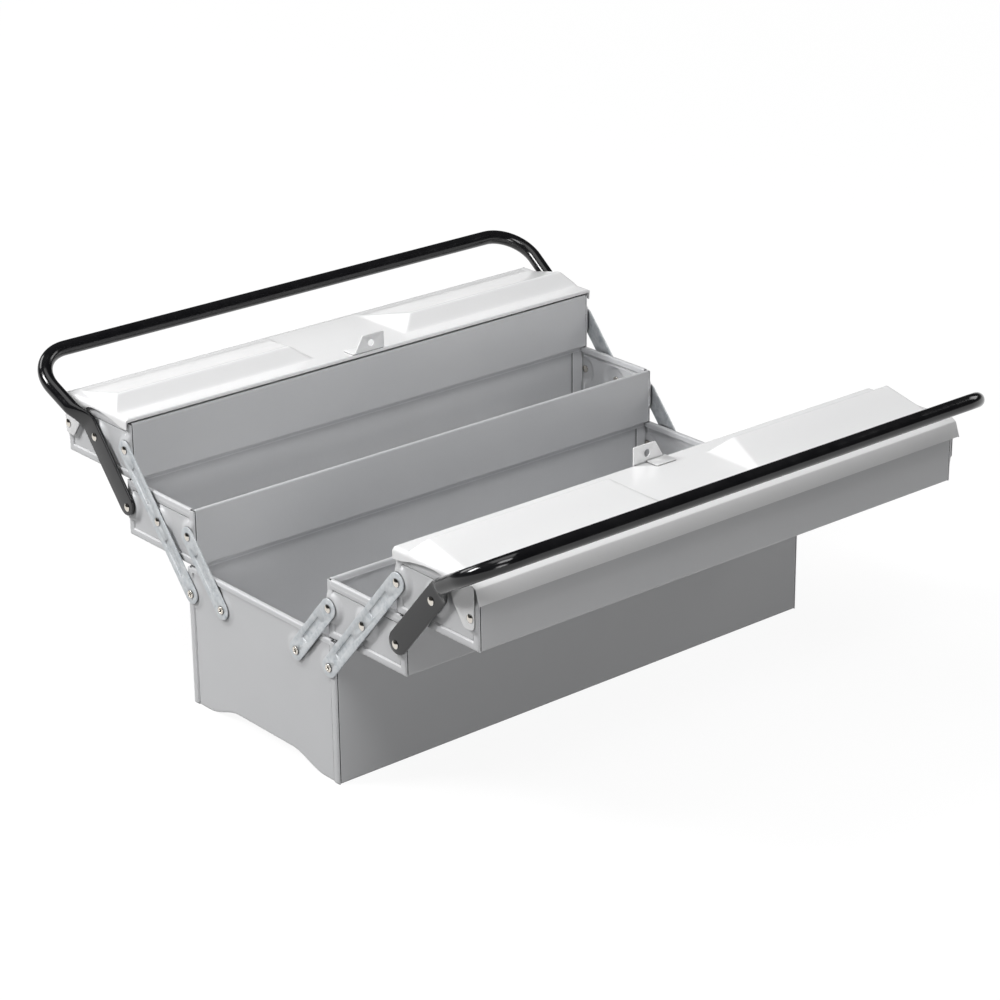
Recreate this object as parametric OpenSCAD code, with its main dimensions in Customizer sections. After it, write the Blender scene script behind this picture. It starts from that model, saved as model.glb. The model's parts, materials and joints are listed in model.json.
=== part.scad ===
// Cantilever tool box with five compartments, standing open.
// Lengths are in millimetres. X runs along the box, Y from front to rear, Z up.
// The origin is on the floor, in the middle of the box.
// The trays are drawn at the open stop of the links, with both lids shut.

/* [Bottom box] */
// Length of the bottom box over its end panels
body_l = 513; // [440:1:600]
// Width of the bottom box over its front and rear panels
body_w = 200; // [190:1:220]
// Height of the bottom box from its feet to its rim
body_h = 125; // [110:1:160]
// Width of the foot strip along each long side
foot_w = 20; // [14:1:26]
// Rise of the underside between the feet
arch_rise = 10; // [6:0.5:14]
// Half width of the flat middle of the raised underside
arch_flat = 36; // [24:1:44]

/* [Sheet metal] */
// Thickness of the sheet that the box, the trays and the lids are folded from
sheet = 0.8; // [0.7:0.1:1.2]
// Width of the folded rim of the bottom box
box_hem = 4.5; // [3.5:0.1:6]
// Width of the folded rims of the trays
tray_hem = 3.8; // [3:0.1:5]
// Height of the rims' turned-down edge
hem_drop = 5; // [3:0.5:7]
// Width of the corner flanges inside the end panels
flange_w = 11; // [7:0.5:15]
// Inset of the recessed field of the end panels from their edges
field_inset = 6.5; // [5:0.5:9]
// Depth of that recessed field
field_depth = 0.4; // [0.2:0.1:0.6]

/* [Trays] */
// Height of each tray
tray_h = 50.5; // [46:0.5:60]
// Gap between the stacked compartments
tier_gap = 0.3; // [0.3:0.1:1]
// Distance of the trays from the middle plane of the box if their links swung fully over
shut_gap = 0.6; // [0.4:0.1:1.2]
// Inset of a shut tray's outer wall from the box's outer wall
tray_inset = 2.4; // [1.5:0.1:4]
// Height of the round embossed seats under the links
boss_h = 2; // [1.5:0.1:2.5]
// Radius of those seats at their foot
boss_r = 14; // [12:0.5:15]
// Radius of those seats at their top
boss_top_r = 10.5; // [9:0.5:11]

/* [Links] */
// Height of the tray pivots above the tray's underside
pivot_h = 27; // [24:0.5:30]
// Distance of a tray's first pivot from its inner wall
pivot_edge = 5.2; // [5:0.1:7]
// Distance of a tray's last pivot from its outer wall
hinge_edge = 5.8; // [5.5:0.1:7]
// Distance of the long link's lower pivot from the box's outer wall
box_pivot_edge = 6; // [5.5:0.1:8]
// Width of the links
link_w = 17; // [14:0.5:19]
// Thickness of the links
link_t = 1.5; // [1:0.1:2]
// Distance of each pressed groove's ends from the pivots
groove_end = 17; // [13:0.5:20]
// Width of the pressed grooves
groove_w = 6.5; // [4:0.5:8]
// Depth of the pressed grooves
groove_depth = 0.7; // [0.4:0.1:0.8]

/* [Rivets] */
// Radius of the rivet shanks
rivet_r = 2; // [1.6:0.1:2.4]
// Radius of the rivets' domed heads
head_r = 3.5; // [3:0.1:4]
// Height of the rivets' domed heads
head_h = 1.1; // [0.8:0.1:1.4]
// Height of the upset heads inside the panels
upset_h = 0.8; // [0.5:0.1:1]
// Radius of the hollow in the bottom rivets
eyelet_r = 1.2; // [0.8:0.1:1.4]
// Depth of the hollow in the bottom rivets
eyelet_depth = 2.5; // [1.5:0.1:3]

/* [Handles] */
// Outer diameter of the handle tube
tube_d = 13; // [11:0.5:14]
// Thickness of the flattened arms
arm_t = 2.8; // [2.4:0.1:3.2]
// Width of the flattened arms
arm_w = 20.5; // [18:0.5:21]
// Length of the flat arm beyond its upper rivet
arm_beyond = 12; // [9:0.5:14]
// Sideways distance from the upper rivet to the start of the round tube
knee_y = 23.7; // [22:0.1:26]
// Height of the start of the round tube above the upper rivet
knee_z = 22.6; // [21:0.1:25]
// Distance of the start of the round tube beyond the end planes of the box
knee_x = 10.5; // [10:0.1:14]
// Sideways distance from the upper rivet to the grip bar
grip_y = 77.6; // [72:0.1:84]
// Height of the grip bar above the upper rivet
grip_z = 53.5; // [50:0.1:55]
// Distance of the arms' corners beyond the end planes of the box
grip_x = 17.5; // [15:0.1:21]
// Radius of the bends between the arms and the grip bar
bend_r = 34.5; // [28:0.5:40]

/* [Lids] */
// Height of the flat lid sheet above the tray's rim
lid_rise = 4.9; // [4:0.1:6]
// Gap between the lid's inner flange and the tray's rim
lid_gap = 1.7; // [1:0.1:2]
// Gap between the lid's ends and the embossed seats
lid_end_gap = 0.5; // [0.4:0.1:0.8]
// Height of the raised pads above the flat lid sheet
pad_h = 12.3; // [8:0.1:14]
// Half length of the flat panel between the two pads
panel_half = 50; // [40:1:60]
// Distance from the lid's inner edge to the foot of the pads
pad_foot = 17.5; // [16:0.5:20]
// Distance from the lid's inner edge to the ridge of the pads
pad_ridge = 30; // [27:0.5:34]
// Distance from the lid's outer edge to the back of the pads
pad_back = 14; // [12:0.5:18]
// Length of the sloping end of each pad next to the flat panel
pad_slope = 17; // [10:0.5:24]
// Length of the sloping end of each pad next to the lid's end
pad_end = 10; // [6:0.5:14]
// Distance that the outer skirt flares out from the tray's wall
skirt_flare = 5.3; // [5:0.1:7]
// Depth of the outer skirt below the flat lid sheet
skirt_depth = 15.5; // [12:0.5:17]
// Radius of the notches over the handle's pivots
notch_r = 24; // [22:0.5:25]

/* [Hasps] */
// Thickness of the hasps
hasp_t = 1.2; // [0.8:0.1:1.6]
// Height of the hasps' upright tabs
hasp_h = 15.5; // [14:0.5:18]
// Radius of the padlock hole
hasp_hole_r = 3.25; // [2.5:0.05:3.5]
// Height of the padlock hole above the lid
hasp_hole_z = 7.5; // [7:0.5:9]
// Depth of the hasps' feet on the lid
hasp_foot = 14; // [10:0.5:16]

/* [Hidden] */

// Overrun of every cut
over = 1;
// Smoothness of every round shape
$fn = 48;
// Smoothness of the blends between the flat arms and the round tube
blend_fn = 32;

// Colours of the painted sheet, the lids, the plated links, the rivets and the handles
paint = [0.78, 0.79, 0.8];
lid_paint = [0.95, 0.95, 0.95];
zinc = [0.8, 0.84, 0.87];
nickel = [0.7, 0.68, 0.64];
handle_paint = [0.16, 0.16, 0.17];

// Length by which the straight tubes enter their bends, and by how much one piece of a
// handle lies inside the next where they join
lap = 1;
lap_step = 0.02;

// Clearances of the moving pieces: beside the end planes, under the heads, round the shanks
run_gap = 0.3;
head_gap = 0.2;
pivot_clear = 0.3;
// Clearance of a rivet shank in the panel that carries it
seat_clear = 0.1;

// End planes of the bottom box, which are also the tops of the trays' embossed seats
end_x = body_l / 2;
tray_x = end_x - boss_h;
link_x = end_x + run_gap;
lid_x = end_x + lid_end_gap + sheet;

// Width of a tray, and the spacing of the three pivots on each tray's end
tray_w = body_w / 2 - shut_gap - tray_inset;
pitch = (tray_w - pivot_edge - hinge_edge) / 2;
// Step in height between tiers, and the sideways reach of one link segment at rest
tier = tray_h + tier_gap;
reach = (body_w / 2 - box_pivot_edge - pivot_edge - shut_gap) / 2;
segment = norm([reach, tier]);

// Places of the pivots of one side, as distances from the middle plane and heights
long_low = [body_w / 2 - box_pivot_edge, body_h - tray_h + pivot_h];
short_low = long_low - [pitch, 0];
short_high = short_low + [reach, tier];
long_mid = long_low + [reach, tier];
long_high = long_low + 2 * [reach, tier];
arm_low = long_mid + [pitch, 0];
arm_high = long_high + [pitch, 0];
hinge = arm_high + [pitch, 0];

// Lower inner corners of the middle and top trays
middle_at = short_high - [pivot_edge, pivot_h];
top_at = long_high - [pivot_edge, pivot_h];
rim_z = top_at[1] + tray_h;
lid_z = rim_z + lid_rise;

// Steps of the curve between each foot and the raised underside
arch_steps = 8;
// Distance of the end rims from the corners, where the folded sheets meet
corner_gap = 5.5;
// Lengths of the recessed field's distance from the rim and from the feet
field_top = 8;

// Places along the lid's end, from its inner edge or from a pivot
end_skirt_depth = 10.5;
end_tab_reach = 19.8;
end_tab_neck = 7.6;
end_tab_toe = 7.2;
end_tab_depth = 9.6;
end_tab_edge = 4.3;
end_tab_chamfer = 2.5;
notch_rise = 3.4;
notch_shift = 10.2;

// Bend of the lid's outer edge, as steps out and down from the flat sheet
bend_out = 5;
bend_run = 4.5;
bend_drop = 0.9;
skirt_gap = 1;
skirt_shoulder = 3.5;

// Outline of the hasps' tabs and feet along the lid
hasp_left = 14.5;
hasp_right = 18;
hasp_top_right = 9;
hasp_foot_left = -1;
hasp_foot_right = 20;

// Unit vector to the left of the way from a to b
function left_of(a, b) = let (d = (b - a) / norm(b - a)) [-d[1], d[0]];

// Corner i of a line that runs t to the left of a path
function parallel_corner(path, i, t) =
    let (last = len(path) - 1)
    let (before = left_of(path[max(i - 1, 0)], path[max(i, 1)]))
    let (after = left_of(path[min(i, last - 1)], path[min(i + 1, last)]))
    let (both = before + after)
    path[i] + both * (2 * t / (both * both));

// Right half of the underside's outline, from the foot to the raised flat
function arch_half() = [
    for (i = [0:arch_steps])
        let (share = i / arch_steps)
        [
            body_w / 2 - foot_w - (body_w / 2 - foot_w - arch_flat) * share,
            arch_rise * (1 - cos(180 * share)) / 2
        ]
];

function flip(path) = [for (p = path) [-p[0], p[1]]];
function backwards(path) = [for (i = [len(path) - 1:-1:0]) path[i]];

// Underside from the front corner to the rear corner
function underside() = concat(
    [[-body_w / 2, 0]], flip(arch_half()), backwards(arch_half()), [[body_w / 2, 0]]
);

// Rim of a wall whose outer face is at y and whose top is at z, folded in towards way
function rim(y, z, hem, way) = [
    [y + way * hem, z - hem_drop],
    [y + way * hem, z],
    [y, z]
];

// Outer corners of a pad: its foot lowered by skirt, the foot itself and the ridge
function pad_corners(skirt) =
    let (foot = [
        [panel_half + 2 * sheet, pad_foot],
        [lid_x - sheet, pad_foot],
        [lid_x - sheet - pad_end, tray_w - pad_back],
        [panel_half, tray_w - pad_back]
    ])
    concat(
        [for (p = foot) [p[0], p[1], -skirt]],
        [for (p = foot) [p[0], p[1], 0]],
        [[panel_half + pad_slope, pad_ridge, pad_h], [lid_x - sheet - pad_end, pad_ridge, pad_h]]
    );

PAD_FACES = [
    [0, 1, 2, 3], [0, 4, 5, 1], [1, 5, 6, 2], [2, 6, 7, 3], [3, 7, 4, 0],
    [4, 8, 9, 5], [8, 7, 6, 9], [5, 9, 6], [7, 8, 4]
];

// A flat shape drawn in Y and Z, made thick along X from x0 to x1
module along_x(x0, x1) {
    translate([x0, 0, 0]) rotate([90, 0, 90]) linear_extrude(x1 - x0) children();
}

// A folded sheet whose outer face follows the path
module folded(path, t) {
    last = len(path) - 1;
    polygon(concat(path, [for (i = [last:-1:0]) parallel_corner(path, i, t)]));
}

// A block given by its two corners
module block(low, high) {
    translate(low) cube(high - low);
}

// A cylinder along X
module pin(x0, x1, at, r) {
    translate([x0, at[0], at[1]]) rotate([0, 90, 0]) cylinder(h = x1 - x0, r = r);
}

// What is drawn for the rear and the right stands as it is, the rest is mirrored
module on_side(side) {
    if (side > 0) children();
    else mirror([0, 1, 0]) children();
}

module on_end(end) {
    if (end > 0) children();
    else mirror([1, 0, 0]) children();
}

module both_ends() {
    for (end = [-1, 1]) on_end(end) children();
}

// Folded rim of an end panel, between y0 and y1, at x and with its top at z
module end_rim(x, y0, y1, z, hem) {
    block([x - hem, y0, z - sheet], [x, y1, z]);
    block([x - hem, y0, z - hem_drop], [x - hem + sheet, y1, z]);
}

// Flanges of an end panel along the walls at y0 and y1, from z0 to z1
module corner_flanges(x, y0, y1, z0, z1) {
    block([x - flange_w, y0 + sheet, z0], [x, y0 + 2 * sheet, z1]);
    block([x - flange_w, y1 - 2 * sheet, z0], [x, y1 - sheet, z1]);
}

// Domed rivet from the panel's inner face to its head at head_x
module rivet(panel_x, head_x, at) {
    ball_r = (head_r * head_r + head_h * head_h) / (2 * head_h);
    grip = head_x - panel_x;
    translate([panel_x, at[0], at[1]]) rotate([0, 90, 0]) rotate_extrude() {
        translate([0, -upset_h]) square([head_r, upset_h]);
        translate([0, -upset_h]) square([rivet_r, upset_h + grip + head_h / 2]);
        intersection() {
            translate([0, grip + head_h - ball_r]) circle(r = ball_r);
            translate([0, grip]) square([2 * head_r, head_h]);
        }
    }
}

// Bottom box

module bottom_shell() {
    path = concat(
        rim(-body_w / 2, body_h, box_hem, 1),
        underside(),
        backwards(rim(body_w / 2, body_h, box_hem, -1))
    );
    color(paint) along_x(-end_x + sheet, end_x - sheet) folded(path, sheet);
}

module bottom_end(end) {
    inner_x = end_x - sheet;
    wall = body_w / 2;
    field_y = wall - field_inset;
    field_low = arch_rise + field_top;
    color(paint) on_end(end) difference() {
        union() {
            along_x(inner_x, end_x)
                polygon(concat([[-wall, body_h]], underside(), [[wall, body_h]]));
            block([inner_x - field_depth, -field_y, field_low], [inner_x, field_y, body_h - field_top]);
            end_rim(end_x, -wall + corner_gap, wall - corner_gap, body_h, box_hem);
            corner_flanges(inner_x, -wall, wall, 2 * sheet, body_h - hem_drop);
        }
        block(
            [end_x - field_depth, -field_y, field_low],
            [end_x + over, field_y, body_h - field_top]
        );
        for (side = [-1, 1], at = [long_low, short_low])
            pin(inner_x - over, end_x + over, [side * at[0], at[1]], rivet_r + seat_clear);
    }
}

module bottom_rivets() {
    panel_x = end_x - sheet - field_depth;
    head_x = link_x + link_t + head_gap;
    color(nickel) both_ends() for (side = [-1, 1], p = [long_low, short_low]) {
        at = [side * p[0], p[1]];
        difference() {
            union() {
                pin(panel_x - upset_h, panel_x, at, head_r);
                pin(panel_x - upset_h, head_x, at, rivet_r);
                pin(head_x, head_x + head_h, at, head_r);
            }
            pin(head_x + head_h - eyelet_depth, head_x + head_h + over, at, eyelet_r);
        }
    }
}

// Trays

// Front, floor and rear of a tray, folded from one sheet, with its lower inner corner at place
module tray_shell(place) {
    path = concat(
        rim(0, tray_h, tray_hem, 1),
        [[0, 0], [tray_w, 0]],
        backwards(rim(tray_w, tray_h, tray_hem, -1))
    );
    along_x(-tray_x + sheet, tray_x - sheet) translate(place) folded(path, sheet);
}

// End panel of a tray with an embossed seat round each pivot
module tray_end(place) {
    inner_x = tray_x - sheet;
    y0 = place[0];
    y1 = place[0] + tray_w;
    z0 = place[1];
    z1 = place[1] + tray_h;
    seats = [for (i = [0:2]) place + [pivot_edge + i * pitch, pivot_h]];
    difference() {
        union() {
            block([inner_x, y0, z0], [tray_x, y1, z1]);
            block(
                [inner_x - field_depth, y0 + field_inset, z0 + field_inset],
                [inner_x, y1 - field_inset, z1 - field_top]
            );
            end_rim(tray_x, y0 + corner_gap, y1 - corner_gap, z1, tray_hem);
            corner_flanges(inner_x, y0, y1, z0 + 2 * sheet, z1 - hem_drop);
        }
        block(
            [tray_x - field_depth, y0 + field_inset, z0 + field_inset],
            [tray_x + over, y1 - field_inset, z1 - field_top]
        );
        intersection() {
            union() for (at = seats) seat_cone(at, inner_x - field_depth - over, inner_x + boss_h, sheet);
            block([inner_x - field_depth - over, y0 + 2 * sheet, z0], [tray_x + over, y1 - 2 * sheet, z1]);
        }
    }
    difference() {
        intersection() {
            union() for (at = seats) seat_cone(at, inner_x, inner_x + sheet + boss_h, 0);
            block([inner_x, y0, z0], [end_x + over, y1, z1]);
        }
        intersection() {
            union() for (at = seats) seat_cone(at, inner_x - over, inner_x + boss_h, sheet);
            block([inner_x - over, y0 + 2 * sheet, z0], [end_x, y1 - 2 * sheet, z1]);
        }
        for (at = seats) pin(tray_x, end_x + over, at, rivet_r + seat_clear);
    }
}

// Round seat that narrows towards its top at x1, smaller all round by t
module seat_cone(at, x0, x1, t) {
    slope_h = boss_h;
    translate([x1 - slope_h, at[0], at[1]]) rotate([0, 90, 0])
        cylinder(h = slope_h, r1 = boss_r - t, r2 = boss_top_r - t);
    pin(x0, x1 - slope_h, at, boss_r - t);
}

module middle_tray(side) {
    color(paint) on_side(side) tray_shell(middle_at);
}

module middle_end(side, end) {
    color(paint) on_side(side) on_end(end) tray_end(middle_at);
}

module middle_rivets(side) {
    panel_x = end_x - sheet;
    color(nickel) on_side(side) both_ends() {
        rivet(panel_x, link_x + link_t + head_gap, short_high);
        rivet(panel_x, link_x + link_t + head_gap, long_mid);
        rivet(panel_x, link_x + arm_t + head_gap, arm_low);
    }
}

module top_tray(side) {
    color(paint) on_side(side) tray_shell(top_at);
}

module top_end(side, end) {
    color(paint) on_side(side) on_end(end) tray_end(top_at);
}

module top_rivets(side) {
    panel_x = end_x - sheet;
    color(nickel) on_side(side) both_ends() {
        rivet(panel_x, link_x + link_t + head_gap, long_high);
        rivet(panel_x, link_x + arm_t + head_gap, arm_high);
        rivet(panel_x, lid_x + head_gap, hinge);
    }
}

// Links

// Flat bar along the given pivots, with a pressed groove between each pair
module link_bar(pivots) {
    turn = atan2(tier, reach);
    difference() {
        along_x(link_x, link_x + link_t) {
            for (at = pivots) translate(at) circle(r = link_w / 2);
            translate(pivots[0]) rotate(turn)
                translate([0, -link_w / 2]) square([segment * (len(pivots) - 1), link_w]);
        }
        along_x(link_x + link_t - groove_depth, link_x + link_t + over)
            for (i = [0:len(pivots) - 2]) translate(pivots[i]) rotate(turn)
                translate([groove_end, -groove_w / 2]) square([segment - 2 * groove_end, groove_w]);
        for (at = pivots) pin(link_x - over, link_x + link_t + over, at, rivet_r + pivot_clear);
    }
}

module long_link(side, end) {
    color(zinc) on_side(side) on_end(end) link_bar([long_low, long_mid, long_high]);
}

module short_link(side, end) {
    color(zinc) on_side(side) on_end(end) link_bar([short_low, short_high]);
}

// Handles

// Stands a tube on the start of the round part, along the arm that leans up and flares out
module at_knee(knee, x, lean, flare) {
    translate([x, knee[0], knee[1]]) rotate([lean, 0, 0]) rotate([0, 0, -flare]) rotate([-90, 0, 0])
        children();
}

module handle(side) {
    turn = atan2(tier, reach);
    arm_l = segment + arm_beyond;
    tube_r = tube_d / 2;
    knee = arm_high + [knee_y, knee_z];
    knee_end = end_x + knee_x;
    run = norm([grip_y - knee_y, grip_z - knee_z]);
    lean = atan2(grip_z - knee_z, grip_y - knee_y);
    flare = atan2(grip_x - knee_x, run);
    corner_x = end_x + grip_x;
    bend_turn = 90 + flare;
    tangent = bend_r * tan(bend_turn / 2);
    straight = norm([grip_x - knee_x, run]) - tangent;
    color(handle_paint) on_side(side) {
        both_ends() {
            difference() {
                along_x(link_x, link_x + arm_t) {
                    translate(arm_low) circle(r = arm_w / 2);
                    translate(arm_low) rotate(turn) translate([0, -arm_w / 2]) square([arm_l, arm_w]);
                }
                for (at = [arm_low, arm_high])
                    pin(link_x - over, link_x + arm_t + over, at, rivet_r + pivot_clear);
            }
            hull() {
                along_x(link_x + lap_step, link_x + arm_t - lap_step) translate(arm_low) rotate(turn)
                    translate([arm_l - arm_t, lap_step - arm_w / 2])
                    square([arm_t - lap_step, arm_w - 2 * lap_step]);
                at_knee(knee, knee_end, lean, flare)
                    cylinder(h = arm_t, r = tube_r + 2 * lap_step, $fn = blend_fn);
            }
            at_knee(knee, knee_end, lean, flare) cylinder(h = straight + lap, r = tube_r - lap_step);
            translate([0, knee[0], knee[1]]) rotate([lean, 0, 0])
                translate([corner_x - tangent, run - bend_r, 0]) rotate([0, 0, -flare])
                rotate_extrude(angle = bend_turn) translate([bend_r, 0]) circle(r = tube_r);
        }
        pin(
            tangent - corner_x - lap, corner_x - tangent + lap,
            arm_high + [grip_y, grip_z], tube_r - lap_step
        );
    }
}

// Lids

// One raised pad, its foot at the flat sheet's top, reaching skirt below it
module pad(skirt) {
    polyhedron(pad_corners(skirt), PAD_FACES);
}

module lid_sheet() {
    y1 = tray_w;
    path = [
        [y1 + skirt_flare, -skirt_depth],
        [y1 + skirt_gap, -skirt_shoulder],
        [y1 + skirt_gap - bend_run, -bend_drop],
        [y1 + skirt_gap - bend_run - bend_out, 0],
        [0, 0],
        [0, lid_gap - lid_rise]
    ];
    along_x(-lid_x, lid_x) folded(path, sheet);
}

// End wall of the lid in Y and Z, from the lid's inner upper edge
module lid_end_shape() {
    pivot = arm_high - [top_at[0], lid_z];
    knuckle = hinge - [top_at[0], lid_z];
    outer = knuckle[0] + end_tab_edge;
    toe_z = knuckle[1] - end_tab_depth;
    difference() {
        polygon([
            [0, 0],
            [0, -end_skirt_depth],
            [knuckle[0] - end_tab_reach, -end_skirt_depth],
            [knuckle[0] - end_tab_reach, knuckle[1] + end_tab_neck],
            [knuckle[0] - end_tab_toe, toe_z],
            [outer - end_tab_chamfer, toe_z],
            [outer, toe_z + end_tab_chamfer],
            [outer, -bend_drop - sheet],
            [outer - end_tab_edge, 0]
        ]);
        translate(pivot + [0, notch_rise]) circle(r = notch_r);
        translate(pivot + [-notch_shift, notch_rise]) circle(r = notch_r);
    }
}

module lid(side) {
    color(lid_paint) on_side(side) difference() {
        translate([0, top_at[0], lid_z]) {
            difference() {
                union() {
                    lid_sheet();
                    both_ends() pad(sheet / 2);
                }
                both_ends() translate([0, 0, -sheet]) pad(over);
            }
            both_ends() along_x(lid_x - sheet, lid_x) lid_end_shape();
        }
        both_ends() pin(lid_x - sheet - over, lid_x + over, hinge, rivet_r + pivot_clear);
    }
}

// Hasps

// The two hasps are the same piece turned half round
module hasp(side) {
    color(zinc) rotate(side > 0 ? 180 : 0) translate([0, -top_at[0], lid_z]) {
        difference() {
            rotate([90, 0, 0]) linear_extrude(hasp_t) polygon([
                [-hasp_left, 0], [hasp_right, 0], [hasp_top_right, hasp_h], [-hasp_left, hasp_h]
            ]);
            translate([0, over, hasp_hole_z]) rotate([90, 0, 0])
                cylinder(h = hasp_t + 2 * over, r = hasp_hole_r);
        }
        block([hasp_foot_left, -hasp_foot, 0], [hasp_foot_right, -hasp_t / 2, hasp_t]);
    }
}

bottom_shell();
bottom_end(-1);  // bottom_end_left
bottom_end(1);  // bottom_end_right
bottom_rivets();
middle_tray(1);  // middle_tray_rear
middle_end(1, -1);  // middle_end_left_rear
middle_end(1, 1);  // middle_end_right_rear
middle_rivets(1);  // middle_rivets_rear
top_tray(1);  // top_tray_rear
top_end(1, -1);  // top_end_left_rear
top_end(1, 1);  // top_end_right_rear
top_rivets(1);  // top_rivets_rear
long_link(1, -1);  // long_link_left_rear
long_link(1, 1);  // long_link_right_rear
short_link(1, -1);  // short_link_left_rear
short_link(1, 1);  // short_link_right_rear
handle(1);  // handle_rear
lid(1);  // lid_rear
hasp(1);  // hasp_rear
middle_tray(-1);  // middle_tray_front
middle_end(-1, -1);  // middle_end_left_front
middle_end(-1, 1);  // middle_end_right_front
middle_rivets(-1);  // middle_rivets_front
top_tray(-1);  // top_tray_front
top_end(-1, -1);  // top_end_left_front
top_end(-1, 1);  // top_end_right_front
top_rivets(-1);  // top_rivets_front
long_link(-1, -1);  // long_link_left_front
long_link(-1, 1);  // long_link_right_front
short_link(-1, -1);  // short_link_left_front
short_link(-1, 1);  // short_link_right_front
handle(-1);  // handle_front
lid(-1);  // lid_front
hasp(-1);  // hasp_front
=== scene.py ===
"""Dresses the cantilever tool box: folded sheets, pressed details, finishes, studio and camera.

Sizes are in millimetres and become metres as the meshes are made. Each sub-part is drawn once, for the
rear side and the right end, and mirrored for the others. Only the hasp is drawn for the front lid.
"""

import json
import math

import bmesh
import bpy
import numpy as np
from mathutils import Matrix, Vector, geometry


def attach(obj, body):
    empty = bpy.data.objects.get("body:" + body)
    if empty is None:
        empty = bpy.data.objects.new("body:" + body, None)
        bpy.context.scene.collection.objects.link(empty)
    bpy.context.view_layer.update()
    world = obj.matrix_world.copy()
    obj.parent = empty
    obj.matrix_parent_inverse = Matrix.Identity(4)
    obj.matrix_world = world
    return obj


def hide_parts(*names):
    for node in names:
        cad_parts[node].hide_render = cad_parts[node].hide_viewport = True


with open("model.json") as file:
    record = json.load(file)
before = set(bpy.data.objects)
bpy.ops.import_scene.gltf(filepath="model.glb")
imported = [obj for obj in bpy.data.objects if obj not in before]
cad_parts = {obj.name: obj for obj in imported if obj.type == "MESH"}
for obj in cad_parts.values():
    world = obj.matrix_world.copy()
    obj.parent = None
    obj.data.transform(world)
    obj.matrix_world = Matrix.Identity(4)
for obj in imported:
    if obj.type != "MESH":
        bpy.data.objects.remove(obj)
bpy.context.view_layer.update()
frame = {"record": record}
record = frame["record"]

MM = 0.001

# Sizes of the box, as in the construction

BODY_L, BODY_W, BODY_H = 513.0, 200.0, 125.0
FOOT_W, ARCH_RISE, ARCH_FLAT = 20.0, 10.0, 36.0
SHEET, BOX_HEM, TRAY_HEM, HEM_DROP = 0.8, 4.5, 3.8, 5.0
FLANGE_W, FIELD_INSET, FIELD_TOP, FIELD_DEPTH = 11.0, 6.5, 8.0, 0.4
TRAY_H, TIER_GAP, TRAY_INSET, SHUT_GAP = 50.5, 0.3, 2.4, 0.6
BOSS_H, BOSS_R, BOSS_TOP_R, CORNER_GAP = 2.0, 14.0, 10.5, 5.5
PIVOT_H, PIVOT_EDGE, HINGE_EDGE, BOX_PIVOT_EDGE = 27.0, 5.2, 5.8, 6.0
LINK_W, LINK_T, LINK_GAP, LID_SIDE_GAP = 17.0, 1.5, 0.3, 0.5
GROOVE_END, GROOVE_W = 17.0, 6.5
RIVET_R, HEAD_R, HEAD_H, UPSET_H = 2.0, 3.5, 1.1, 0.8
HEAD_GAP, HOLE_GAP = 0.2, 0.3
TUBE_R, ARM_T, ARM_W, ARM_BEYOND = 6.5, 2.8, 20.5, 12.0
LID_RISE, LID_GAP, PAD_H, PANEL_HALF = 4.9, 1.7, 12.3, 50.0
PAD_FOOT, PAD_RIDGE, PAD_BACK, PAD_SLOPE, PAD_END = 17.5, 30.0, 14.0, 17.0, 10.0
SKIRT_FLARE, SKIRT_DEPTH = 5.3, 15.5
HASP_T, HASP_H, HASP_HOLE_R, HASP_HOLE_Z, HASP_FOOT = 1.2, 15.5, 3.25, 7.5, 14.0

# Ends of the handle's leg: in Y and Z from the arm's upper rivet, and in X beyond the end panel

KNEE, KNEE_X = (23.7, 22.6), 10.5
GRIP, GRIP_X = (77.6, 53.5), 17.5
BEND_R = 34.5

END_X = BODY_L / 2
TRAY_X = END_X - BOSS_H
LINK_X = END_X + LINK_GAP
LID_X = END_X + LID_SIDE_GAP + SHEET
TRAY_W = BODY_W / 2 - SHUT_GAP - TRAY_INSET
PITCH = (TRAY_W - PIVOT_EDGE - HINGE_EDGE) / 2
TIER = TRAY_H + TIER_GAP
REACH = (BODY_W / 2 - BOX_PIVOT_EDGE - PIVOT_EDGE - SHUT_GAP) / 2
SEGMENT = math.hypot(REACH, TIER)
SLANT = math.atan2(TIER, REACH)


def shifted(at, y, z):
    return (at[0] + y, at[1] + z)


# Places of the pivots and trays in Y and Z, on the rear side

LONG_LOW = (BODY_W / 2 - BOX_PIVOT_EDGE, BODY_H - TRAY_H + PIVOT_H)
SHORT_LOW = shifted(LONG_LOW, -PITCH, 0)
SHORT_HIGH = shifted(SHORT_LOW, REACH, TIER)
LONG_MID = shifted(LONG_LOW, REACH, TIER)
LONG_HIGH = shifted(LONG_MID, REACH, TIER)
ARM_LOW = shifted(LONG_MID, PITCH, 0)
ARM_HIGH = shifted(LONG_HIGH, PITCH, 0)
HINGE = shifted(ARM_HIGH, PITCH, 0)
MIDDLE_AT = shifted(SHORT_HIGH, -PIVOT_EDGE, -PIVOT_H)
TOP_AT = shifted(LONG_HIGH, -PIVOT_EDGE, -PIVOT_H)
LID_Z = TOP_AT[1] + TRAY_H + LID_RISE

SIDES = {"rear": 1, "front": -1}
ENDS = {"right": 1, "left": -1}


# Lines in a plane

# Limit on how far a mitre reaches at a very sharp corner
SHARPEST = 0.5
# An even place closer than this to an extra one, in steps, is left out
CROWDED = 0.3


def step_to(a, b):
    return (b[0] - a[0], b[1] - a[1])


def direction(a, b):
    step = step_to(a, b)
    length = math.hypot(*step)
    return (step[0] / length, step[1] / length)


def left_of(d):
    return (-d[1], d[0])


def mix(a, b, t):
    return a + (b - a) * t


def smooth(value, low, high):
    """Zero at low, one at high, with soft ends; low may be the larger."""
    t = min(1.0, max(0.0, (value - low) / (high - low)))
    return t * t * (3 - 2 * t)


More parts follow.
